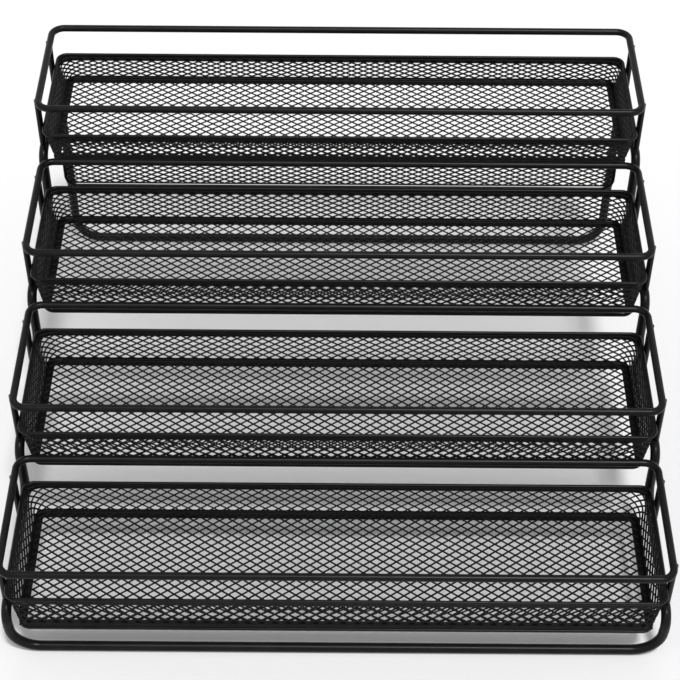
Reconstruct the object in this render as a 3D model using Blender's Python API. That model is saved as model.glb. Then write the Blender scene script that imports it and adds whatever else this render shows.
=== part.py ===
"""Tiered spice rack: four wire trays with mesh walls and floors, on two stepped side frames.

Units are metres, +Z is up and -Y is the front. Tier 1 is the lowest tray, at the front.
"""
import math

import bmesh
import bpy

MM = 0.001

# Fit between pieces that touch
SEAM = 0.3 * MM

# The steps
TIERS = 4
STEP_RISE = 37 * MM
STEP_RUN = 93 * MM
FIRST_RAIL_HEIGHT = 75 * MM

# The guard rail round the top of each tray
RAIL_WIDTH = 380 * MM
RAIL_DEPTH = 86 * MM
RAIL_WIRE = 4.5 * MM
RAIL_CORNER = 8 * MM

# The tray that hangs below the rail
RIM_SIDE_INSET = 2 * MM
RIM_FRONT_REACH = 2 * MM
RIM_REAR_INSET = 2 * MM
RIM_CORNER = 6 * MM
RIM_DROP = 20 * MM
RIM_WIRE = 2.5 * MM
WALL_HEIGHT = 28 * MM
TOP_TIER_WALL_HEIGHT = 21 * MM
END_WALL_LEAN = 5 * MM
LONG_WALL_LEAN = 1 * MM

# The corner posts between the rail and the side frame
POST_WIRE = 4 * MM
POST_FROM_CORNER = 12 * MM

# The side frames and the bars on the ground
FRAME_WIRE = 6 * MM
FRAME_BEND = 8 * MM
FRAME_DROP = 40 * MM
FRAME_FRONT = 3 * MM
BAR_BEND = 17 * MM
REAR_LEG_FROM_REAR = 2 * MM

# The mesh panel below the front of the top tray
APRON_HEIGHT = 19 * MM
APRON_BEND = 8 * MM

# Expanded mesh: strands, sheet and how many diamonds fit each panel
STRAND = 1.6 * MM
SHEET = 1.2 * MM
FLOOR_DIAMONDS = (6, 2)
LONG_WALL_DIAMONDS = (6, 1)
END_WALL_DIAMONDS = (2, 1)

# Roundness
CORNER_STEPS = 3
RAIL_RESOLUTION = 2
WIRE_RESOLUTION = 1

BLACK = (0.018, 0.018, 0.020, 1.0)
COAT_ROUGHNESS = 0.38
MESH_ROUGHNESS = 0.50

# Short straight ends of the bars on the ground
BAR_STUB = 2 * MM

# Radii and places that follow
RAIL_R = RAIL_WIRE / 2
RIM_R = RIM_WIRE / 2
POST_R = POST_WIRE / 2
FRAME_R = FRAME_WIRE / 2
RIM_WIDTH = RAIL_WIDTH - 2 * RIM_SIDE_INSET
RIM_DEPTH = RAIL_DEPTH + RIM_FRONT_REACH - RIM_REAR_INSET
BASE_WIDTH = RIM_WIDTH - 2 * END_WALL_LEAN
BASE_DEPTH = RIM_DEPTH - 2 * LONG_WALL_LEAN
POST_X = RIM_WIDTH / 2 + RIM_R + SEAM + POST_R
FRAME_X = POST_X - POST_R / 4
# A wire of eight sides lies on a flat side. Where a bend starts, its ring leans by a quarter of
# the arc's step, which draws the straight side in a little
FLAT_SIDE_TILT = math.pi / 8
RING_LEAN = math.pi / (8 * CORNER_STEPS)
FRAME_REST = FRAME_R * math.cos(FLAT_SIDE_TILT) * math.cos(RING_LEAN)
BAR_END = FRAME_REST + BAR_BEND + BAR_STUB
REAR_LEG_Y = (TIERS - 1) * STEP_RUN + RAIL_DEPTH - REAR_LEG_FROM_REAR
# The rack is centred front to back on the origin, from the first rim to the last rail
DEPTH_FRONT = -RIM_FRONT_REACH - RIM_R * math.cos(RING_LEAN)
DEPTH_REAR = (TIERS - 1) * STEP_RUN + RAIL_DEPTH + RAIL_R * math.cos(RING_LEAN)
DEPTH_CENTRE = (DEPTH_FRONT + DEPTH_REAR) / 2


def clear_scene():
    for obj in list(bpy.data.objects):
        bpy.data.objects.remove(obj, do_unlink=True)


def black_coat(name, roughness):
    material = bpy.data.materials.new(name)
    material.use_nodes = True
    shader = material.node_tree.nodes["Principled BSDF"]
    shader.inputs["Base Color"].default_value = BLACK
    shader.inputs["Roughness"].default_value = roughness
    shader.inputs["Metallic"].default_value = 0.0
    return material


def rail_height(tier):
    return FIRST_RAIL_HEIGHT + (tier - 1) * STEP_RISE


def tier_front(tier):
    return (tier - 1) * STEP_RUN - DEPTH_CENTRE


def wall_height(tier):
    return TOP_TIER_WALL_HEIGHT if tier == TIERS else WALL_HEIGHT


def corner_arc(before, corner, after, radius):
    """Points of the round corner of two runs that meet square."""
    to_before = [b - c for b, c in zip(before, corner)]
    to_after = [a - c for a, c in zip(after, corner)]
    length_before = math.dist(before, corner)
    length_after = math.dist(after, corner)
    u = [v / length_before for v in to_before]
    w = [v / length_after for v in to_after]
    centre = [c + radius * (a + b) for c, a, b in zip(corner, u, w)]
    points = []
    for step in range(CORNER_STEPS + 1):
        angle = math.pi / 2 * step / CORNER_STEPS
        points.append([m - radius * (math.sin(angle) * a + math.cos(angle) * b)
                       for m, a, b in zip(centre, u, w)])
    return points


def rounded_route(corners, radius, closed):
    """The corners joined by straight runs, with an arc of one radius at each bend."""
    count = len(corners)
    points = []
    for index, corner in enumerate(corners):
        if not closed and index in (0, count - 1):
            points.append(list(corner))
            continue
        before = corners[index - 1]
        after = corners[(index + 1) % count]
        points.extend(corner_arc(before, corner, after, radius))
    return points


def wire(name, route, radius, resolution, closed=False, tilt=0.0):
    """Round wire along a route."""
    curve = bpy.data.curves.new(name, "CURVE")
    curve.dimensions = "3D"
    curve.bevel_depth = radius
    curve.bevel_resolution = resolution
    curve.use_fill_caps = True
    spline = curve.splines.new("POLY")
    spline.points.add(len(route) - 1)
    for point, place in zip(spline.points, route):
        point.co = (*place, 1.0)
        point.tilt = tilt
    spline.use_cyclic_u = closed
    obj = bpy.data.objects.new(name, curve)
    bpy.context.collection.objects.link(obj)
    curve.materials.append(black_coat(name + "_coat", COAT_ROUGHNESS))
    return obj


def loop_wire(name, width, depth, front, height, corner, radius, resolution):
    """A closed wire, a rectangle with round corners, lying level."""
    half = width / 2
    corners = [(-half, front, height), (half, front, height),
               (half, front + depth, height), (-half, front + depth, height)]
    return wire(name, rounded_route(corners, corner, True), radius, resolution, closed=True)


def diamond_net(name, corner_places, diamonds):
    """Flat expanded mesh in a four-sided outline, corners given in order round it."""
    columns, rows = diamonds
    low_left, low_right, high_right, high_left = corner_places
    mesh = bmesh.new()
    nodes = {}
    for row in range(2 * rows + 1):
        up = row / (2 * rows)
        for column in range(2 * columns + 1):
            if (row + column) % 2:
                continue
            along = column / (2 * columns)
            place = [(a * (1 - along) + b * along) * (1 - up) + (d * (1 - along) + c * along) * up
                     for a, b, c, d in zip(low_left, low_right, high_right, high_left)]
            nodes[column, row] = mesh.verts.new(place)
    for row in range(2 * rows + 1):
        for column in range(2 * columns + 1):
            if (row + column) % 2 == 0:
                continue
            ring = [(column - 1, row), (column, row - 1), (column + 1, row), (column, row + 1)]
            mesh.faces.new([nodes[key] for key in ring if key in nodes])
    mesh.normal_update()
    # each face is inset, and what it leaves in the middle of its strands is a hole
    inset = bmesh.ops.inset_individual(mesh, faces=mesh.faces[:], thickness=STRAND / 2,
                                       use_even_offset=True)
    strands = set(inset["faces"])
    holes = [face for face in mesh.faces if face not in strands]
    bmesh.ops.delete(mesh, geom=holes, context="FACES")
    data = bpy.data.meshes.new(name)
    mesh.to_mesh(data)
    mesh.free()
    obj = bpy.data.objects.new(name, data)
    bpy.context.collection.objects.link(obj)
    sheet = obj.modifiers.new("sheet", "SOLIDIFY")
    sheet.thickness = SHEET
    sheet.offset = 0.0
    data.materials.append(black_coat(name + "_coat", MESH_ROUGHNESS))
    return obj



def edge_rise(lean, tier):
    """How far the edge of a leaning sheet stands above its middle."""
    return SHEET / 2 * lean / wall_height(tier)


def build_rail(tier):
    loop_wire(f"tier_{tier}_rail", RAIL_WIDTH, RAIL_DEPTH, tier_front(tier), rail_height(tier),
              RAIL_CORNER, RAIL_R, RAIL_RESOLUTION)


def build_posts(tier):
    """Four upright wires, from the side frames up to the rail, beside the tray's rim."""
    low = rail_height(tier) - FRAME_DROP + FRAME_R + SEAM
    high = rail_height(tier) - RAIL_R - SEAM
    for side, x in (("left", -POST_X), ("right", POST_X)):
        for end, inward in (("front", POST_FROM_CORNER), ("rear", RAIL_DEPTH - POST_FROM_CORNER)):
            y = tier_front(tier) + inward
            wire(f"tier_{tier}_post_{end}_{side}", [(x, y, low), (x, y, high)], POST_R,
                 WIRE_RESOLUTION)


def build_tray(tier):
    """Rim wire, four leaning mesh walls, a mesh floor and the wire that the floor lies on."""
    rim_z = rail_height(tier) - RIM_DROP
    base_z = rim_z - wall_height(tier)
    rim_y = tier_front(tier) - RIM_FRONT_REACH
    base_y = rim_y + LONG_WALL_LEAN
    loop_wire(f"tier_{tier}_rim", RIM_WIDTH, RIM_DEPTH, rim_y, rim_z, RIM_CORNER, RIM_R,
              WIRE_RESOLUTION)
    loop_wire(f"tier_{tier}_base_wire", BASE_WIDTH, BASE_DEPTH, base_y, base_z, RIM_CORNER, RIM_R,
              WIRE_RESOLUTION)

    floor_z = base_z + RIM_R + SEAM + SHEET / 2
    half = BASE_WIDTH / 2
    back = base_y + BASE_DEPTH
    diamond_net(f"tier_{tier}_floor_mesh",
                [(-half, base_y, floor_z), (half, base_y, floor_z), (half, back, floor_z),
                 (-half, back, floor_z)], FLOOR_DIAMONDS)

    # the walls stand on the floor's border and reach the rim, with a seam at each
    foot_z = floor_z + SHEET / 2 + SEAM + edge_rise(END_WALL_LEAN, tier)
    head_z = rim_z - RIM_R - SEAM - edge_rise(END_WALL_LEAN, tier)

    def up_share(z):
        return (z - base_z) / wall_height(tier)

    def end_x(z):
        return half + END_WALL_LEAN * up_share(z)

    def front_y(z):
        return base_y - LONG_WALL_LEAN * up_share(z)

    def rear_y(z):
        return back + LONG_WALL_LEAN * up_share(z)

    for side, wall_y in (("front", front_y), ("rear", rear_y)):
        places = []
        for z, sign in ((foot_z, -1), (foot_z, 1), (head_z, 1), (head_z, -1)):
            places.append((sign * (end_x(z) - RIM_CORNER), wall_y(z), z))
        diamond_net(f"tier_{tier}_{side}_mesh", places, LONG_WALL_DIAMONDS)
    for side, sign in (("left", -1), ("right", 1)):
        places = []
        for z, edge_y, inward in ((foot_z, front_y, 1), (foot_z, rear_y, -1),
                                  (head_z, rear_y, -1), (head_z, front_y, 1)):
            places.append((sign * end_x(z), edge_y(z) + inward * RIM_CORNER, z))
        diamond_net(f"tier_{tier}_{side}_mesh", places, END_WALL_DIAMONDS)


def build_apron():
    """Mesh panel in a bent wire, below the front of the top tray."""
    top_z = rail_height(TIERS) - RIM_DROP - TOP_TIER_WALL_HEIGHT - RIM_R - SEAM
    y = tier_front(TIERS) - RIM_FRONT_REACH + LONG_WALL_LEAN
    half = BASE_WIDTH / 2 - RIM_CORNER
    low_z = top_z - APRON_HEIGHT
    corners = [(-half, y, top_z), (-half, y, low_z), (half, y, low_z), (half, y, top_z)]
    wire("apron_wire", rounded_route(corners, APRON_BEND, False), RIM_R, WIRE_RESOLUTION)
    # the sheet lies against the wire's inner face
    sheet_y = y + RIM_R + SEAM + SHEET / 2
    diamond_net("apron_mesh", [(-half, sheet_y, low_z), (half, sheet_y, low_z),
                               (half, sheet_y, top_z), (-half, sheet_y, top_z)],
                LONG_WALL_DIAMONDS)


def build_side_frame(name, x):
    """One bent wire: up the front, along and up each step, and down the rear leg."""
    corners = [(x, tier_front(1) + FRAME_FRONT, BAR_END + SEAM)]
    for tier in range(1, TIERS + 1):
        y = tier_front(tier) + FRAME_FRONT
        run_z = rail_height(tier) - FRAME_DROP
        if tier > 1:
            corners.append((x, y, run_z - STEP_RISE))
        corners.append((x, y, run_z))
    rear_y = REAR_LEG_Y - DEPTH_CENTRE
    corners.append((x, rear_y, rail_height(TIERS) - FRAME_DROP))
    corners.append((x, rear_y, BAR_END + SEAM))
    wire(name, rounded_route(corners, FRAME_BEND, False), FRAME_R, RAIL_RESOLUTION)


def build_ground_bar(name, y):
    """A bar on the ground, bent up at both ends to meet the side frames."""
    corners = [(-FRAME_X, y, BAR_END), (-FRAME_X, y, FRAME_REST), (FRAME_X, y, FRAME_REST),
               (FRAME_X, y, BAR_END)]
    wire(name, rounded_route(corners, BAR_BEND, False), FRAME_R, RAIL_RESOLUTION,
         tilt=FLAT_SIDE_TILT)


def main():
    clear_scene()
    for tier in range(1, TIERS + 1):
        build_rail(tier)
        build_posts(tier)
        build_tray(tier)
    build_apron()
    build_side_frame("side_frame_left", -FRAME_X)
    build_side_frame("side_frame_right", FRAME_X)
    build_ground_bar("front_ground_bar", tier_front(1) + FRAME_FRONT)
    build_ground_bar("rear_ground_bar", REAR_LEG_Y - DEPTH_CENTRE)


main()
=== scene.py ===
# %% [markdown]
# # A tiered spice rack, dressed around its CAD model
#
# The real rack is four shallow trays of expanded steel mesh. Each hangs below a guard rail of
# round wire, and all of it has one black powder coat. The CAD model gives every size here. This
# script replaces its simple nets and its coarse wires by pieces with the real mesh pitch, round
# bends and turned hems. All lengths are metres, +Z is up and -Y is the front.

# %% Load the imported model
import math

import bpy
from mathutils import Matrix, Vector


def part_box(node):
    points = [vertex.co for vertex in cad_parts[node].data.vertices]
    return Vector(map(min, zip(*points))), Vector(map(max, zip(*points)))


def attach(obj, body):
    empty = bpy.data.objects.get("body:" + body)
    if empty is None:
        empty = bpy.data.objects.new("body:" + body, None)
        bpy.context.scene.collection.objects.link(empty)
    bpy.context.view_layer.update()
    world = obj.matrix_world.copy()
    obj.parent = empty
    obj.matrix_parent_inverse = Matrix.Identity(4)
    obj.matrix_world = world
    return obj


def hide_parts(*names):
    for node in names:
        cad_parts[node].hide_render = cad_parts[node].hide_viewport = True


MM = 0.001
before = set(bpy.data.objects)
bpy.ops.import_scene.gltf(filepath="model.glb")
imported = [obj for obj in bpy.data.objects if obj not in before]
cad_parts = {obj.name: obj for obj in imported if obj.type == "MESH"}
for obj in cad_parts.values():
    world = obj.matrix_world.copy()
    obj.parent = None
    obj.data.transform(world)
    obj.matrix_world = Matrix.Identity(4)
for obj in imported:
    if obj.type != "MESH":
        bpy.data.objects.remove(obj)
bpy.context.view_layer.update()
print("nodes in the frame:", len(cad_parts))

# %% [markdown]
# ## The camera
#
# A photograph can be matched by moving a camera until the corners agree. Here the view was
# worked out from the widths and heights of the four rails and rims, which all have known sizes.
# It stands in front and above, looks down by about 45 degrees, and has a long lens.

# %% Camera at the photograph's viewing angle
CAMERA_PLACE = Vector((0.0011, -0.7838, 0.8720))
LEVEL = math.radians(90)
LOOK_DOWN = math.radians(45.3)
ROLL = math.radians(0.4)
LENS = 93.6
SENSOR = 36.0

camera_data = bpy.data.cameras.new("photo_camera")
camera_data.lens = LENS
camera_data.sensor_width = SENSOR
camera = bpy.data.objects.new("photo_camera", camera_data)
bpy.context.collection.objects.link(camera)
camera.matrix_world = (Matrix.Translation(CAMERA_PLACE)
                       @ Matrix.Rotation(LEVEL - LOOK_DOWN, 4, "X")
                       @ Matrix.Rotation(ROLL, 4, "Z"))
bpy.context.scene.camera = camera
bpy.context.scene.view_settings.view_transform = "Standard"
print("camera", [round(v, 4) for v in CAMERA_PLACE])

# %% [markdown]
# ## Sizes read from the frame
#
# Every piece takes its place from the boxes of the CAD nodes, so it needs no fitting. A wire's
# thickness is the height of its node, and the line through its middle is half a wire inside.

# %% Sizes of the wires
TIERS = (1, 2, 3, 4)


def middle_line(node):
    """Width, depth, middle and radius of a level closed wire."""
    low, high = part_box(node)
    radius = (high.z - low.z) / 2
    return high.x - low.x - 2 * radius, high.y - low.y - 2 * radius, (low + high) / 2, radius


for tier in TIERS:
    width, depth, middle, radius = middle_line(f"tier_{tier}_rail")
    print(f"tier {tier}: rail {width / MM:.1f} x {depth / MM:.1f} mm, "
          f"wire {2 * radius / MM:.1f} mm, height {middle.z / MM:.1f} mm")

# %% [markdown]
# ## The black powder coat
#
# Powder coat is sprayed on dry and baked until it flows. It leaves a satin black with a fine
# orange peel, and it is glossier in some places than in others. One noise drives small changes
# of colour and roughness and another gives the peel as a bump, both on Object coordinates, so
# the pattern stays on the steel in every view.

# %% Finishes
COAT_SHINE = 0.13
COAT_DARK = (0.003, 0.003, 0.003, 1.0)
COAT_LIGHT = (0.007, 0.007, 0.007, 1.0)
CLOUD_SCALE = 90.0
CLOUD_DETAIL = 4.0
CLOUD_DARK_END = 0.35
CLOUD_LIGHT_END = 0.70
PEEL_DETAIL = 2.0
PEEL_STRENGTH = 0.35


def powder_coat(name, smooth, rough, peel_scale, peel_depth):
    """Satin black coat with uneven gloss and a fine peel."""
    material = bpy.data.materials.new(name)
    material.use_nodes = True
    tree = material.node_tree
    shader = tree.nodes["Principled BSDF"]
    shader.inputs["Specular IOR Level"].default_value = COAT_SHINE
    place = tree.nodes.new("ShaderNodeTexCoord")

    cloud = tree.nodes.new("ShaderNodeTexNoise")
    cloud.inputs["Scale"].default_value = CLOUD_SCALE
    cloud.inputs["Detail"].default_value = CLOUD_DETAIL
    tree.links.new(place.outputs["Object"], cloud.inputs["Vector"])

    colour = tree.nodes.new("ShaderNodeValToRGB")
    dark_end, light_end = colour.color_ramp.elements
    dark_end.position, dark_end.color = CLOUD_DARK_END, COAT_DARK
    light_end.position, light_end.color = CLOUD_LIGHT_END, COAT_LIGHT
    tree.links.new(cloud.outputs["Fac"], colour.inputs["Fac"])
    tree.links.new(colour.outputs["Color"], shader.inputs["Base Color"])

    gloss = tree.nodes.new("ShaderNodeMapRange")
    gloss.inputs["To Min"].default_value = smooth
    gloss.inputs["To Max"].default_value = rough
    tree.links.new(cloud.outputs["Fac"], gloss.inputs["Value"])
    tree.links.new(gloss.outputs["Result"], shader.inputs["Roughness"])

    grain = tree.nodes.new("ShaderNodeTexNoise")
    grain.inputs["Scale"].default_value = peel_scale
    grain.inputs["Detail"].default_value = PEEL_DETAIL
    tree.links.new(place.outputs["Object"], grain.inputs["Vector"])
    bump = tree.nodes.new("ShaderNodeBump")
    bump.inputs["Strength"].default_value = PEEL_STRENGTH
    bump.inputs["Distance"].default_value = peel_depth
    tree.links.new(grain.outputs["Fac"], bump.inputs["Height"])
    tree.links.new(bump.outputs["Normal"], shader.inputs["Normal"])
    return material


WIRE_COAT = powder_coat("wire_powder_coat", smooth=0.24, rough=0.38,
                        peel_scale=1400.0, peel_depth=0.05 * MM)
MESH_COAT = powder_coat("mesh_powder_coat", smooth=0.34, rough=0.50,
                        peel_scale=1800.0, peel_depth=0.04 * MM)
print("finishes", WIRE_COAT.name, MESH_COAT.name)

# %% [markdown]
# ## Helpers for every piece
#
# The imported model comes in selected, and an operator acts on all that is selected, so each
# piece starts from a clear selection. Each is closed the same way too: doubles are merged,
# normals point outwards, it gets its coat and its body, and the CAD nodes it stands for are
# hidden.

# %% Start and close a piece
MERGE = 0.001 * MM
SMOOTH_ANGLE = math.radians(40)


def clear_selection():
    """Leave edit mode and deselect everything."""
    if bpy.context.object and bpy.context.object.mode != "OBJECT":
        bpy.ops.object.mode_set(mode="OBJECT")
    bpy.ops.object.select_all(action="DESELECT")


def finish_piece(obj, name, coat, nodes, smooth=False):
    """Clean the mesh and say what the piece is."""
    obj.name = name
    obj.data.name = name
    bpy.ops.object.mode_set(mode="EDIT")
    bpy.ops.mesh.select_all(action="SELECT")
    bpy.ops.mesh.remove_doubles(threshold=MERGE)
    bpy.ops.mesh.normals_make_consistent(inside=False)
    bpy.ops.object.mode_set(mode="OBJECT")
    if smooth:
        bpy.ops.object.shade_smooth_by_angle(angle=SMOOTH_ANGLE)
    obj.data.materials.clear()
    obj.data.materials.append(coat)
    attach(obj, "root")
    if nodes:
        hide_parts(*nodes)
    return obj


# %% [markdown]
# ## From edges to wire
#
# A chain of edges becomes a curve. The curve's own bevel gives it a round section of any radius,
# with closed ends, and the result is made a mesh again. All wires of the rack end this way.

# %% Round section along a chain of edges
SECTION_STEPS = 6


def round_wire(obj, radius):
    """Turn a chain of edges into round wire."""
    bpy.ops.object.convert(target="CURVE")
    obj = bpy.context.object
    obj.data.bevel_depth = radius
    obj.data.bevel_resolution = SECTION_STEPS
    obj.data.use_fill_caps = True
    bpy.ops.object.convert(target="MESH")
    return bpy.context.object


# %% [markdown]
# ## Closed wires
#
# A guard rail is one length of wire, bent to a rectangle and butt-welded. A plane of the right
# size gives the four corners. A vertex bevel rounds them, the face goes, and the loop of edges
# that is left becomes round wire.

# %% Rails, rims and base wires
RAIL_CORNER = 8 * MM
TRAY_CORNER = 6 * MM
BEND_STEPS = 10


def closed_wire(name, node, corner):
    """A level rectangle of wire with round corners."""
    width, depth, middle, radius = middle_line(node)
    clear_selection()
    bpy.ops.mesh.primitive_plane_add(size=1.0, location=middle)
    obj = bpy.context.object
    obj.scale = (width, depth, 1.0)
    bpy.ops.object.transform_apply(location=True, rotation=True, scale=True)
    bpy.ops.object.mode_set(mode="EDIT")
    bpy.ops.mesh.select_all(action="SELECT")
    bpy.ops.mesh.bevel(offset=corner, segments=BEND_STEPS, affect="VERTICES")
    bpy.ops.mesh.select_all(action="SELECT")
    bpy.ops.mesh.delete(type="ONLY_FACE")
    bpy.ops.object.mode_set(mode="OBJECT")
    obj = round_wire(obj, radius)
    return finish_piece(obj, name, WIRE_COAT, [node], smooth=True)


for tier in TIERS:
    closed_wire(f"rail_{tier}", f"tier_{tier}_rail", RAIL_CORNER)
    closed_wire(f"rim_{tier}", f"tier_{tier}_rim", TRAY_CORNER)
    closed_wire(f"base_{tier}", f"tier_{tier}_base_wire", TRAY_CORNER)
print("closed wires", 3 * len(TIERS))

# %% [markdown]
# ## Open wires
#
# The side frames, the ground bars, the posts and the apron's wire are bent from straight lengths.
# A tiny plane is merged to one vertex, which is extruded from corner to corner. The order of the
# vertices isn't certain after that, so the inner corners are found as those that join two edges.
# A vertex bevel on them makes the bends before the chain becomes round wire.

# %% One vertex, extruded along a route
SEED = 1 * MM


def open_wire(name, corners, bend, radius, nodes):
    """A wire along a route of corners, with a bend at each inner one."""
    clear_selection()
    bpy.ops.mesh.primitive_plane_add(size=SEED, location=corners[0])
    bpy.ops.object.transform_apply(location=True, rotation=True, scale=True)
    obj = bpy.context.object
    bpy.ops.object.mode_set(mode="EDIT")
    bpy.ops.mesh.select_mode(type="VERT")
    bpy.ops.mesh.select_all(action="SELECT")
    bpy.ops.mesh.merge(type="CENTER")
    for start, end in zip(corners, corners[1:]):
        step = Vector(end) - Vector(start)
        bpy.ops.mesh.extrude_region_move(TRANSFORM_OT_translate={"value": step})
    if len(corners) > 2:
        bpy.ops.mesh.select_all(action="DESELECT")
        bpy.ops.object.mode_set(mode="OBJECT")
        joined = [index for edge in obj.data.edges for index in edge.vertices]
        for vertex in obj.data.vertices:
            vertex.select = joined.count(vertex.index) == 2
        bpy.ops.object.mode_set(mode="EDIT")
        bpy.ops.mesh.bevel(offset=bend, segments=BEND_STEPS, affect="VERTICES")
    bpy.ops.object.mode_set(mode="OBJECT")
    obj = round_wire(obj, radius)
    return finish_piece(obj, name, WIRE_COAT, nodes, smooth=True)


# %% Posts between the side frames and the rails
def post(tier, end, side):
    """An upright wire between a side frame and a rail."""
    node = f"tier_{tier}_post_{end}_{side}"
    low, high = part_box(node)
    x, y = (low.x + high.x) / 2, (low.y + high.y) / 2
    radius = (high.x - low.x) / 2
    open_wire(f"post_{tier}_{end}_{side}", [(x, y, low.z), (x, y, high.z)], 0, radius, [node])


for tier in TIERS:
    for end in ("front", "rear"):
        for side in ("left", "right"):
            post(tier, end, side)
print("posts", 4 * len(TIERS))

# %% [markdown]
# ## Side frames and ground bars
#
# Each side frame climbs from the front bar in four steps and comes down again as the rear leg.
# The steps are as long as the trays are apart, so the route is read from the rails' places.

# %% Stepped side frames
FRAME_DROP = 40 * MM
FRAME_RADIUS = 3 * MM
FRAME_BEND = 8 * MM


def side_frame(side):
    """The stepped wire at one end of the rack."""
    node = f"side_frame_{side}"
    low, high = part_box(node)
    x = (low.x + high.x) / 2
    front = low.y + FRAME_RADIUS
    rear = high.y - FRAME_RADIUS
    rails = [middle_line(f"tier_{tier}_rail")[2] for tier in TIERS]
    treads = [rail.z - FRAME_DROP for rail in rails]
    corners = [(x, front, low.z), (x, front, treads[0])]
    for rail, tread, tread_before in zip(rails[1:], treads[1:], treads):
        y = front + rail.y - rails[0].y
        corners += [(x, y, tread_before), (x, y, tread)]
    corners += [(x, rear, treads[-1]), (x, rear, low.z)]
    return open_wire(f"frame_{side}", corners, FRAME_BEND, FRAME_RADIUS, [node])


for side in ("left", "right"):
    side_frame(side)

# %% Bars along the ground
BAR_BEND = 17 * MM


def ground_bar(end):
    """A bar on the ground, bent up at both ends to meet the side frames."""
    node = f"{end}_ground_bar"
    low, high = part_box(node)
    y = (low.y + high.y) / 2
    left, right = low.x + FRAME_RADIUS, high.x - FRAME_RADIUS
    corners = [(left, y, high.z), (left, y, FRAME_RADIUS), (right, y, FRAME_RADIUS),
               (right, y, high.z)]
    return open_wire(f"bar_{end}", corners, BAR_BEND, FRAME_RADIUS, [node])


for end in ("front", "rear"):
    ground_bar(end)

# %% [markdown]
# ## Expanded mesh
#
# Expanded metal is a sheet that is slit and pulled, so its strands are one net and its diamonds
# stand in staggered rows. A grid is poked, which puts a point in the middle of each square. When
# the square's own edges are dissolved, diamonds are left. A Wireframe modifier then turns each
# edge into a strand. The edges to dissolve are marked as seams while the grid is still flat and
# square, and the marks are taken off again at the end.

# %% A net of diamonds
STRAND = 1.25 * MM
DIAMOND_LENGTH = 7.88 * MM
NET_MERGE = 0.01 * MM
SAME_LINE = 1e-6
GRID_EDGE = 0.5


def mark_squares(mesh, closed):
    """Mark the grid's own edges, but not those that stay as the net's border."""
    for edge in mesh.edges:
        a, b = (mesh.vertices[i].co for i in edge.vertices)
        level, upright = abs(a.y - b.y) < SAME_LINE, abs(a.x - b.x) < SAME_LINE
        on_end = upright and abs(abs(a.x) - GRID_EDGE) < SAME_LINE
        on_border = level and abs(abs(a.y) - GRID_EDGE) < SAME_LINE
        edge.use_seam = (level or upright) and not on_border and (closed or not on_end)


def diamond_sheet(name, columns, rows, place, closed):
    """A net of columns by rows; place gives the point for a column and a row."""
    clear_selection()
    bpy.ops.mesh.primitive_grid_add(x_subdivisions=columns, y_subdivisions=rows, size=1.0)
    obj = bpy.context.object
    obj.name = name
    bpy.ops.object.mode_set(mode="EDIT")
    bpy.ops.mesh.select_all(action="SELECT")
    bpy.ops.mesh.poke()
    bpy.ops.object.mode_set(mode="OBJECT")
    mesh = obj.data
    mark_squares(mesh, closed)
    for vertex in mesh.vertices:
        vertex.co = place((vertex.co.x + GRID_EDGE) * columns, (vertex.co.y + GRID_EDGE) * rows)
    bpy.ops.object.mode_set(mode="EDIT")
    bpy.ops.mesh.select_mode(type="EDGE")
    bpy.ops.mesh.select_all(action="SELECT")
    bpy.ops.mesh.remove_doubles(threshold=NET_MERGE)
    bpy.ops.mesh.select_all(action="DESELECT")
    bpy.ops.object.mode_set(mode="OBJECT")
    for edge in mesh.edges:
        edge.select = edge.use_seam
    bpy.ops.object.mode_set(mode="EDIT")
    bpy.ops.mesh.dissolve_edges(use_verts=False)
    bpy.ops.mesh.select_all(action="SELECT")
    bpy.ops.mesh.normals_make_consistent(inside=False)
    bpy.ops.mesh.mark_seam(clear=True)
    bpy.ops.object.mode_set(mode="OBJECT")
    strands = obj.modifiers.new("strands", "WIREFRAME")
    strands.thickness = STRAND
    strands.use_even_offset = True
    strands.use_boundary = True
    bpy.ops.object.modifier_apply(modifier=strands.name)
    return obj


# %% [markdown]
# ## The outline of a tray
#
# The walls lean out by a few millimetres, more at the ends than at the front and rear. One
# function gives the point at a length along the outline and a height up the wall, and the band
# of mesh and its hems all use it, so they stay together round the corners. The bends get the
# length that they have at the rim, so that the diamonds don't stretch there.

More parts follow.
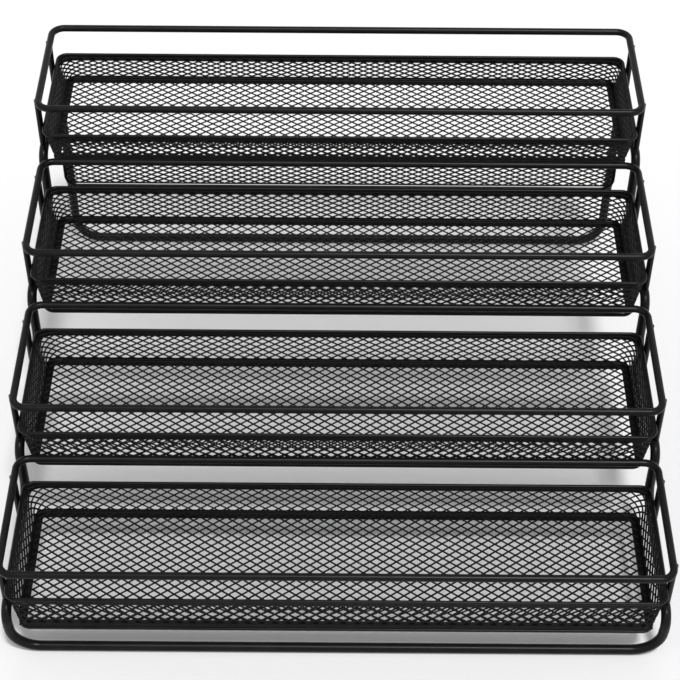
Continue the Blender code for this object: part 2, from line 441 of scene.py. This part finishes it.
# %% Points round a tray
class Tray:
    """The base and rim of one tier's tray, read from the frame."""

    def __init__(self, tier):
        self.tier = tier
        self.base_width, self.base_depth, self.base, self.wire = middle_line(
            f"tier_{tier}_base_wire")
        self.rim_width, self.rim_depth, self.rim, _ = middle_line(f"tier_{tier}_rim")
        self.height = self.rim.z - self.base.z
        self.lean_x = (self.rim_width - self.base_width) / 2
        self.lean_y = (self.rim_depth - self.base_depth) / 2
        self.straight_x = self.base_width - 2 * TRAY_CORNER
        self.straight_y = self.base_depth - 2 * TRAY_CORNER
        self.bend = TRAY_CORNER + self.lean_x
        self.arc = math.pi / 2 * self.bend

    def length(self):
        """Length of the outline, with the bends as long as at the rim."""
        return 2 * (self.straight_x + self.straight_y) + 4 * self.arc

    def point(self, along, up, outwards=0.0):
        """Point at a share along the outline and a share up the wall."""
        runs = [(self.straight_x, 0), (self.straight_y, 90), (self.straight_x, 180),
                (self.straight_y, 270)]
        s = (along % 1.0) * self.length()
        half_x, half_y = self.straight_x / 2, self.straight_y / 2
        starts = [(-half_x, -half_y), (half_x, -half_y), (half_x, half_y), (-half_x, half_y)]
        for index, (run, turn) in enumerate(runs):
            heading = math.radians(turn)
            ahead = (math.cos(heading), math.sin(heading))
            normal = (math.sin(heading), -math.cos(heading))
            x0, y0 = starts[index]
            if s <= run:
                x, y = x0 + ahead[0] * s, y0 + ahead[1] * s
                break
            s -= run
            if s <= self.arc:
                angle = heading - math.pi / 2 + s / self.bend
                normal = (math.cos(angle), math.sin(angle))
                x, y = starts[(index + 1) % 4]
                break
            s -= self.arc
        out = TRAY_CORNER + outwards
        return (self.base.x + x + normal[0] * (out + self.lean_x * up),
                self.base.y + y + normal[1] * (out + self.lean_y * up),
                self.base.z + self.height * up)


trays = {tier: Tray(tier) for tier in TIERS}
print("outline of a tray", round(trays[1].length() / MM, 1), "mm")

# %% [markdown]
# ## Floors and walls
#
# The floor lies on the base wire. The wall band starts just above it and ends under the rim. It
# stands for the four wall nodes of the CAD model, which are flat panels with a few large
# diamonds. The rows of the wall differ from tier to tier, as they do in the photograph.

# %% Mesh of the four trays
FLOOR_LIFT = 1.9 * MM
FLOOR_DIAMOND_WIDTH = 5.65 * MM
WALL_ROWS = {1: 4, 2: 5, 3: 6, 4: 5}


def floor_net(tray):
    """The flat net at the bottom of a tray."""
    columns = round(tray.base_width / DIAMOND_LENGTH)
    rows = round(tray.base_depth / FLOOR_DIAMOND_WIDTH)
    width, depth = tray.base_width - STRAND, tray.base_depth - STRAND
    height = tray.base.z + FLOOR_LIFT

    def place(column, row):
        return (tray.base.x + (column / columns - 0.5) * width,
                tray.base.y + (row / rows - 0.5) * depth, height)

    obj = diamond_sheet("floor_net", columns, rows, place, False)
    return finish_piece(obj, f"floor_{tray.tier}", MESH_COAT,
                        [f"tier_{tray.tier}_floor_mesh"])


def wall_net(tray):
    """The band of net that runs all round a tray."""
    columns = round(tray.length() / DIAMOND_LENGTH)
    rows = WALL_ROWS[tray.tier]
    foot = (FLOOR_LIFT + STRAND) / tray.height
    head = 1 - (tray.wire + STRAND / 2) / tray.height

    def place(column, row):
        return tray.point(column / columns, foot + (head - foot) * row / rows)

    obj = diamond_sheet("wall_net", columns, rows, place, True)
    nodes = [f"tier_{tray.tier}_{side}_mesh" for side in ("front", "rear", "left", "right")]
    return finish_piece(obj, f"wall_{tray.tier}", MESH_COAT, nodes)


for tray in trays.values():
    floor_net(tray)
    wall_net(tray)

# %% [markdown]
# ## Hems
#
# A raw edge of expanded mesh is sharp, so it is folded over the rim wire and welded, and at the
# floor the wall's edge is folded in. In both places two layers of mesh lie on each other and
# read as a dark band. Each hem is a thin solid strip in the net's own plane, thinner than the
# strands, so the diamonds stand proud of it on both sides. Being solid, it fills the diamonds
# with black: partly the real second layer of mesh, partly painted shade where the folded layers
# leave only shade between their strands. Its section is swept round the tray's outline.

# %% Strips round a tray
HEM = 4.6 * MM
FOLD_RISE = 2.6 * MM
FOLD_REACH = 4.4 * MM
HEM_SHEET = 0.5 * MM
HEM_STEPS = 160


def hem_and_shade_strip(name, tray, section):
    """A band whose cross-section is given as (share up, outwards) points."""
    clear_selection()
    spans = len(section) - 1
    bpy.ops.mesh.primitive_grid_add(x_subdivisions=HEM_STEPS, y_subdivisions=spans, size=1.0)
    obj = bpy.context.object
    for vertex in obj.data.vertices:
        along = vertex.co.x + GRID_EDGE
        up, outwards = section[round((vertex.co.y + GRID_EDGE) * spans)]
        vertex.co = tray.point(along, up, outwards)
    bpy.ops.object.mode_set(mode="EDIT")
    bpy.ops.mesh.select_all(action="SELECT")
    bpy.ops.mesh.remove_doubles(threshold=MERGE)
    bpy.ops.mesh.normals_make_consistent(inside=False)
    bpy.ops.object.mode_set(mode="OBJECT")
    # The solid sheet is partly the hem's second layer of mesh and partly painted shade in its
    # diamonds.
    sheet = obj.modifiers.new("sheet", "SOLIDIFY")
    sheet.thickness = HEM_SHEET
    sheet.offset = 0.0
    bpy.ops.object.modifier_apply(modifier=sheet.name)
    return finish_piece(obj, name, MESH_COAT, [], smooth=True)


for tray in trays.values():
    hem_and_shade_strip(f"rim_hem_and_shade_{tray.tier}", tray, [(1 - HEM / tray.height, 0.0), (1.0, 0.0)])
    low = FLOOR_LIFT / tray.height
    hem_and_shade_strip(f"fold_hem_and_shade_{tray.tier}", tray,
              [(low + FOLD_RISE / tray.height, 0.0), (low, 0.0), (low, -FOLD_REACH)])
print("hems", 2 * len(TIERS))

# %% [markdown]
# ## The apron below the top tray
#
# A strip of mesh in a bent wire hangs below the front of the top tray. Its wire and its net are
# made as the others are, and both take their place from the CAD model's apron.

# %% Apron wire
APRON_BEND = 8 * MM

low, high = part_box("apron_wire")
apron_radius = middle_line("tier_4_rim")[3]
apron_y = (low.y + high.y) / 2
apron_low = low.z + apron_radius
left, right = low.x + apron_radius, high.x - apron_radius
open_wire("apron_edge", [(left, apron_y, high.z), (left, apron_y, apron_low),
                         (right, apron_y, apron_low), (right, apron_y, high.z)],
          APRON_BEND, apron_radius, ["apron_wire"])

# %% Apron net
APRON_ROWS = 5

net_low, net_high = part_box("apron_mesh")
apron_columns = round((net_high.x - net_low.x) / DIAMOND_LENGTH)


def apron_place(column, row):
    """Point of the apron's net, which stands upright."""
    return (net_low.x + (net_high.x - net_low.x) * (column / apron_columns),
            (net_low.y + net_high.y) / 2,
            net_low.z + STRAND / 2 + (net_high.z - net_low.z - STRAND) * row / APRON_ROWS)


apron = diamond_sheet("apron_net", apron_columns, APRON_ROWS, apron_place, False)
finish_piece(apron, "apron_net", MESH_COAT, ["apron_mesh"])
print("apron", apron_columns, "x", APRON_ROWS)

# %% [markdown]
# ## Floor and light
#
# The photograph has a white ground with a grey shade under the trays. A pale floor catches that
# shade. The world is a plain soft light, and one sun lamp from above gives the wires their thin
# bright lines. What the camera sees of the world, directly or in a gloss, is white.

# %% Pale floor
FLOOR_SIZE = 14.0
FLOOR_COLOUR = (0.93, 0.93, 0.93, 1.0)
FLOOR_ROUGHNESS = 0.9
FLOOR_SHINE = 0.1
FLOOR_GLOW = 0.04

clear_selection()
bpy.ops.mesh.primitive_plane_add(size=FLOOR_SIZE, location=(0, 0, 0))
ground = bpy.context.object
ground.name = "pale_floor"
ground_paint = bpy.data.materials.new("pale_floor_paint")
ground_paint.use_nodes = True
tree = ground_paint.node_tree
paint = tree.nodes["Principled BSDF"]
paint.inputs["Base Color"].default_value = FLOOR_COLOUR
paint.inputs["Roughness"].default_value = FLOOR_ROUGHNESS
paint.inputs["Specular IOR Level"].default_value = FLOOR_SHINE
glow = tree.nodes.new("ShaderNodeEmission")
glow.inputs["Strength"].default_value = 1.0
rays = tree.nodes.new("ShaderNodeLightPath")
share = tree.nodes.new("ShaderNodeMath")
share.operation = "MULTIPLY"
share.inputs[1].default_value = FLOOR_GLOW
blend = tree.nodes.new("ShaderNodeMixShader")
tree.links.new(rays.outputs["Is Camera Ray"], share.inputs[0])
tree.links.new(share.outputs["Value"], blend.inputs["Fac"])
tree.links.new(paint.outputs["BSDF"], blend.inputs[1])
tree.links.new(glow.outputs["Emission"], blend.inputs[2])
tree.links.new(blend.outputs["Shader"], tree.nodes["Material Output"].inputs["Surface"])
ground.data.materials.append(ground_paint)
print("floor", FLOOR_SIZE, "m wide")

# %% Soft world
WHITE = (1.0, 1.0, 1.0, 1.0)
SOFT_LIGHT = 0.52

world = bpy.data.worlds.new("studio")
bpy.context.scene.world = world
world.use_nodes = True
tree = world.node_tree
soft = tree.nodes["Background"]
soft.inputs["Color"].default_value = WHITE
soft.inputs["Strength"].default_value = SOFT_LIGHT
seen = tree.nodes.new("ShaderNodeBackground")
seen.inputs["Color"].default_value = WHITE
seen.inputs["Strength"].default_value = 1.0
rays = tree.nodes.new("ShaderNodeLightPath")
is_seen = rays.outputs["Is Camera Ray"]
for kind in ("Is Glossy Ray", "Is Transmission Ray"):
    either = tree.nodes.new("ShaderNodeMath")
    either.operation = "MAXIMUM"
    tree.links.new(is_seen, either.inputs[0])
    tree.links.new(rays.outputs[kind], either.inputs[1])
    is_seen = either.outputs["Value"]
mix = tree.nodes.new("ShaderNodeMixShader")
tree.links.new(is_seen, mix.inputs["Fac"])
tree.links.new(soft.outputs["Background"], mix.inputs[1])
tree.links.new(seen.outputs["Background"], mix.inputs[2])
tree.links.new(mix.outputs["Shader"], tree.nodes["World Output"].inputs["Surface"])
print("world", SOFT_LIGHT)

# %% One lamp
LAMP_STRENGTH = 2.0
LAMP_SPREAD = math.radians(9)
LAMP_TILT = (math.radians(20), math.radians(8), 0)

lamp_data = bpy.data.lights.new("key_lamp", "SUN")
lamp_data.energy = LAMP_STRENGTH
lamp_data.angle = LAMP_SPREAD
lamp = bpy.data.objects.new("key_lamp", lamp_data)
bpy.context.collection.objects.link(lamp)
lamp.rotation_euler = LAMP_TILT
print("lamp", LAMP_STRENGTH)
